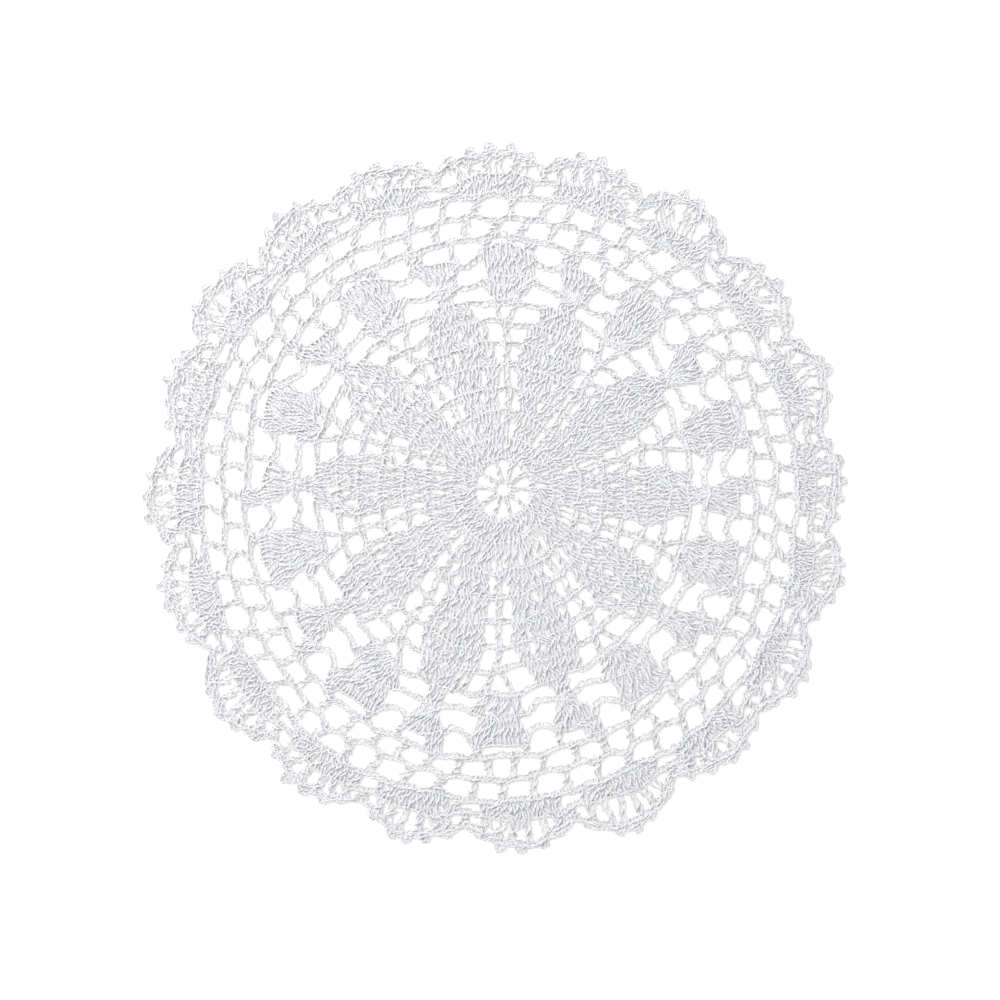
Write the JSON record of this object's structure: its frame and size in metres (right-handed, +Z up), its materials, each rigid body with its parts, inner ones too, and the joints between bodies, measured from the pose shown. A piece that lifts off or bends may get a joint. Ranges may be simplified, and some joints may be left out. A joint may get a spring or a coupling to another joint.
{
  "type": "crochet napkin",
  "caption": "Round white crochet napkin of cotton thread, lying flat, with solid leaves round a middle ring, open fans and mesh, and a scalloped edge with picots",
  "frame": {"origin": "on the surface the napkin lies on, at the middle of its outline", "axes": "+Z up out of the napkin's face, +Y towards the napkin's top as it is laid out, +X to its right"},
  "size_m": [0.2006, 0.2022, 0.0018],
  "materials": {
    "cotton_thread": "white mercerised cotton crochet thread, twisted from several plies, with a soft sheen"
  },
  "bodies": {
    "root": {"crochet_cloth": "cotton_thread"}
  },
  "joints": []
}
